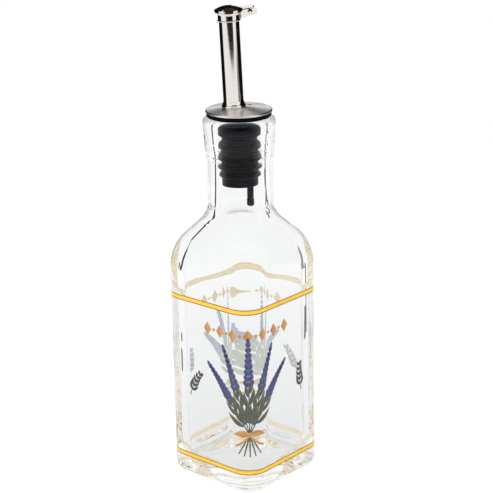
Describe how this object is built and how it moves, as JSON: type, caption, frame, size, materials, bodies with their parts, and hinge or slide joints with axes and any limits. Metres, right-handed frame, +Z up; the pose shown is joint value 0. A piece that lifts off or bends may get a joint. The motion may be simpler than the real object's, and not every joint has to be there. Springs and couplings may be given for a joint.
{
  "type": "oil bottle with pourer",
  "caption": "Square clear glass oil bottle with rounded shoulders, a ribbed black stopper and a steel pouring spout closed by a small hinged flap lid.",
  "frame": {"origin": "centre of the bottle's base, on the surface it stands on", "axes": "+Z up along the neck, X and Y square to the bottle's flat sides; the spout leans towards -Y, turned 18 degrees about Z"},
  "size_m": [0.052, 0.052, 0.2185],
  "materials": {
    "clear_glass": "clear blown soda-lime glass, fire polished",
    "black_rubber": "moulded black elastomer, satin",
    "black_plastic": "extruded black plastic, matt",
    "satin_steel": "pressed stainless steel, satin brushed in rings",
    "polished_steel": "stainless steel, polished"
  },
  "bodies": {
    "bottle": {"glass_bottle": "clear_glass"},
    "pourer": {"stopper": "black_rubber", "breather_tube": "black_plastic", "cap_disc": "satin_steel", "spout_tube": "polished_steel", "hinge_collar": "polished_steel", "hinge_pin": "polished_steel"},
    "flap": {"flap_lid": "polished_steel"}
  },
  "joints": [
    {"name": "pourer_lift", "type": "slide", "parent": "bottle", "child": "pourer", "axis": [0, 0, 1], "range_m": [0, 0.048]},
    {"name": "flap_hinge", "type": "hinge", "parent": "pourer", "child": "flap", "pos_m": [0.00143, 0.0044, 0.21524], "axis": [-0.9511, 0.309, 0], "range_deg": [0, 100]}
  ]
}
